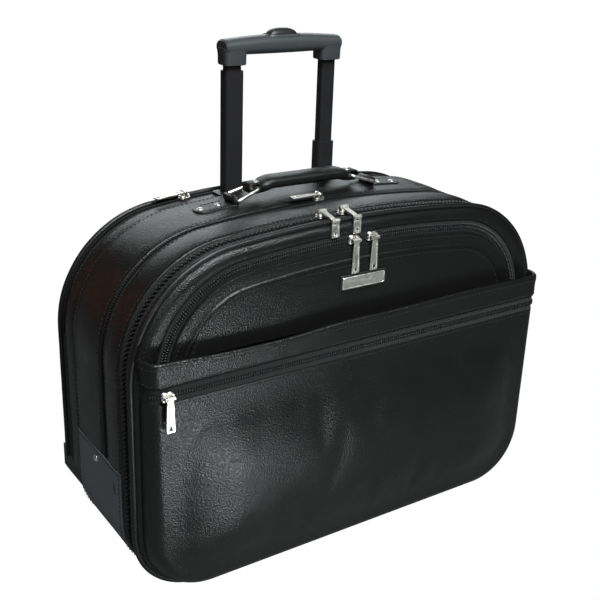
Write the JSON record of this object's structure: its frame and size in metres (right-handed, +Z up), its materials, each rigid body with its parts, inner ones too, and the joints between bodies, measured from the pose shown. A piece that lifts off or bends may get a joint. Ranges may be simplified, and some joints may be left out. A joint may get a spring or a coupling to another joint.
{
  "type": "rolling laptop case",
  "caption": "Arched black leather laptop case on two wheels, with a two-stage trolley handle, carry handle, zipped front lid, front pocket and organiser flap.",
  "frame": {"origin": "on the surface the case stands on, under the middle of its width and depth", "axes": "+X to the right seen from the front, +Y to the back, +Z up"},
  "size_m": [0.445, 0.22, 0.471],
  "materials": {
    "leather": "satin black grained leather",
    "zip_tape": "woven tape with black coil teeth",
    "piping": "satin black welt",
    "lining": "dark woven lining over board",
    "nickel": "brushed nickel",
    "steel": "plain steel",
    "tube_metal": "satin black painted aluminium",
    "plastic": "dark grey moulded plastic",
    "rubber": "black rubber"
  },
  "bodies": {
    "root": {"main_zip_rear_tape": "zip_tape", "front_gusset": "leather", "second_zip_tape": "zip_tape", "middle_gusset": "leather", "back_gusset": "leather", "rear_zip_tape": "zip_tape", "rear_piping": "piping", "laptop_divider": "lining", "trolley_board": "lining", "lower_back_panel": "leather", "side_guards": "leather", "rivets": "nickel", "front_feet": "rubber", "wheel_housings": "plastic", "wheel_axles": "steel", "outer_tubes": "tube_metal", "tube_bezels": "plastic", "tube_bracket": "plastic", "handle_chapes": "leather"},
    "lid": {"lid_tray": "leather", "main_zip_front_tape": "zip_tape", "front_piping": "piping", "front_border": "leather", "arch_zip_outer_tape": "zip_tape", "pocket_panel": "leather", "pocket_zip_tape": "zip_tape", "pocket_hem": "leather", "pocket_divider": "lining"},
    "organiser_flap": {"organiser_flap": "leather", "arch_zip_inner_tape": "zip_tape", "badge": "nickel"},
    "back_flap": {"back_flap": "leather"},
    "carry_handle": {"carry_handle": "leather"},
    "left_ring": {"left_handle_ring": "nickel"},
    "right_ring": {"right_handle_ring": "nickel"},
    "left_wheel": {"left_wheel_tyre": "rubber", "left_wheel_hub": "plastic"},
    "right_wheel": {"right_wheel_tyre": "rubber", "right_wheel_hub": "plastic"},
    "left_stage": {"left_middle_tube": "tube_metal"},
    "right_stage": {"right_middle_tube": "tube_metal"},
    "grip": {"inner_tubes": "tube_metal", "trolley_grip": "plastic"},
    "grip_button": {"grip_button": "plastic"},
    "arch_left_slider": {"arch_left_slider": "nickel"},
    "arch_left_pull": {"arch_left_pull": "nickel"},
    "arch_right_slider": {"arch_right_slider": "nickel"},
    "arch_right_pull": {"arch_right_pull": "nickel"},
    "main_left_slider": {"main_left_slider": "nickel"},
    "main_left_link": {"main_left_link": "nickel"},
    "main_left_pull": {"main_left_pull": "nickel"},
    "main_right_slider": {"main_right_slider": "nickel"},
    "main_right_link": {"main_right_link": "nickel"},
    "main_right_pull": {"main_right_pull": "nickel"},
    "pocket_slider": {"pocket_slider": "nickel"},
    "pocket_pull": {"pocket_pull": "nickel"},
    "second_slider": {"second_slider": "nickel"},
    "second_pull": {"second_pull": "nickel"},
    "rear_slider": {"rear_slider": "nickel"},
    "rear_pull": {"rear_pull": "nickel"}
  },
  "joints": [
    {"name": "lid_open", "type": "hinge", "parent": "root", "child": "lid", "pos_m": [0, -0.06, 0.01], "axis": [1, 0, 0], "range_deg": [0, 85]},
    {"name": "organiser_flap_open", "type": "hinge", "parent": "lid", "child": "organiser_flap", "pos_m": [0, -0.0733, 0.232], "axis": [1, 0, 0], "range_deg": [0, 30]},
    {"name": "back_flap_open", "type": "hinge", "parent": "root", "child": "back_flap", "pos_m": [0, 0.09, 0.2053], "axis": [1, 0, 0], "range_deg": [-80, 0]},
    {"name": "lower_stage_slide", "type": "slide", "parent": "root", "child": "left_stage", "axis": [0, 0, 1], "range_m": [-0.094, 0.151]},
    {"name": "upper_stage_slide", "type": "slide", "parent": "left_stage", "child": "grip", "axis": [0, 0, 1], "range_m": [-0.02, 0.225]},
    {"name": "right_stage_slide", "type": "slide", "parent": "root", "child": "right_stage", "axis": [0, 0, 1], "range_m": [-0.02, 0.225]},
    {"name": "button_press", "type": "slide", "parent": "grip", "child": "grip_button", "axis": [0, 0, -1], "range_m": [0, 0.004], "stiffness_N_per_m": 400},
    {"name": "left_wheel_spin", "type": "hinge", "parent": "root", "child": "left_wheel", "pos_m": [-0.174, 0.085, 0.025], "axis": [1, 0, 0], "continuous": true},
    {"name": "right_wheel_spin", "type": "hinge", "parent": "root", "child": "right_wheel", "pos_m": [0.174, 0.085, 0.025], "axis": [1, 0, 0], "continuous": true},
    {"name": "carry_handle_lift", "type": "slide", "parent": "root", "child": "carry_handle", "axis": [0, 0, 1], "range_m": [-0.003, 0.008]},
    {"name": "left_ring_swing", "type": "hinge", "parent": "root", "child": "left_ring", "pos_m": [-0.076, 0.018, 0.3293], "axis": [0, -1, 0], "range_deg": [-8, 21]},
    {"name": "right_ring_swing", "type": "hinge", "parent": "root", "child": "right_ring", "pos_m": [0.076, 0.018, 0.3293], "axis": [0, 1, 0], "range_deg": [-8, 21]},
    {"name": "arch_left_slider_run", "type": "hinge", "parent": "organiser_flap", "child": "arch_left_slider", "pos_m": [0, -0.078, -0.67665], "axis": [0, 1, 0], "range_deg": [-5.83, 0]},
    {"name": "arch_left_pull_swing", "type": "hinge", "parent": "arch_left_slider", "child": "arch_left_pull", "pos_m": [-0.01, -0.0839, 0.30895], "axis": [1, 0, 0], "range_deg": [-160, 0]},
    {"name": "arch_right_slider_run", "type": "hinge", "parent": "organiser_flap", "child": "arch_right_slider", "pos_m": [0, -0.078, -0.67665], "axis": [0, 1, 0], "range_deg": [0, 5.83]},
    {"name": "arch_right_pull_swing", "type": "hinge", "parent": "arch_right_slider", "child": "arch_right_pull", "pos_m": [0.01, -0.0839, 0.30895], "axis": [1, 0, 0], "range_deg": [-160, 0]},
    {"name": "main_left_slider_run", "type": "hinge", "parent": "lid", "child": "main_left_slider", "pos_m": [0, -0.06, -0.78461], "axis": [0, 1, 0], "range_deg": [-4.5, 0]},
    {"name": "main_left_link_swing", "type": "hinge", "parent": "main_left_slider", "child": "main_left_link", "pos_m": [-0.03117, -0.06, 0.33197], "axis": [0.9996, 0, 0.0279], "range_deg": [-100, 0]},
    {"name": "main_left_pull_swing", "type": "hinge", "parent": "main_left_link", "child": "main_left_pull", "pos_m": [-0.03107, -0.08035, 0.32874], "axis": [0.9996, 0, 0.0279], "range_deg": [-100, 0]},
    {"name": "main_right_slider_run", "type": "hinge", "parent": "lid", "child": "main_right_slider", "pos_m": [0, -0.06, -0.78461], "axis": [0, 1, 0], "range_deg": [0, 6.51]},
    {"name": "main_right_link_swing", "type": "hinge", "parent": "main_right_slider", "child": "main_right_link", "pos_m": [-0.00804, -0.06, 0.33237], "axis": [1, 0, 0.0072], "range_deg": [-100, 0]},
    {"name": "main_right_pull_swing", "type": "hinge", "parent": "main_right_link", "child": "main_right_pull", "pos_m": [-0.00802, -0.08035, 0.32915], "axis": [1, 0, 0.0072], "range_deg": [-100, 0]},
    {"name": "pocket_slider_run", "type": "slide", "parent": "lid", "child": "pocket_slider", "axis": [1, 0, 0], "range_m": [0, 0.398]},
    {"name": "pocket_pull_swing", "type": "hinge", "parent": "pocket_slider", "child": "pocket_pull", "pos_m": [-0.199, -0.1019, 0.213], "axis": [1, 0, 0], "range_deg": [-160, 0]},
    {"name": "second_slider_run", "type": "hinge", "parent": "root", "child": "second_slider", "pos_m": [0, -0.015, -0.78461], "axis": [0, 1, 0], "range_deg": [-5.89, 6.3]},
    {"name": "second_pull_swing", "type": "hinge", "parent": "second_slider", "child": "second_pull", "pos_m": [-0.00402, -0.015, 0.33239], "axis": [0, 1, 0], "range_deg": [0, 170]},
    {"name": "rear_slider_run", "type": "hinge", "parent": "root", "child": "rear_slider", "pos_m": [0, 0.0747, -0.78861], "axis": [0, 1, 0], "range_deg": [-1.25, 10.96]},
    {"name": "rear_pull_swing", "type": "hinge", "parent": "rear_slider", "child": "rear_pull", "pos_m": [-0.0945, 0.0747, 0.32289], "axis": [0, 1, 0], "range_deg": [0, 170]}
  ],
  "couplings": [
    {"joint": "right_stage_slide", "follows": "upper_stage_slide", "ratio": 1},
    {"joint": "left_ring_swing", "follows": "carry_handle_lift", "rad_per_m": 44},
    {"joint": "right_ring_swing", "follows": "carry_handle_lift", "rad_per_m": 44}
  ]
}
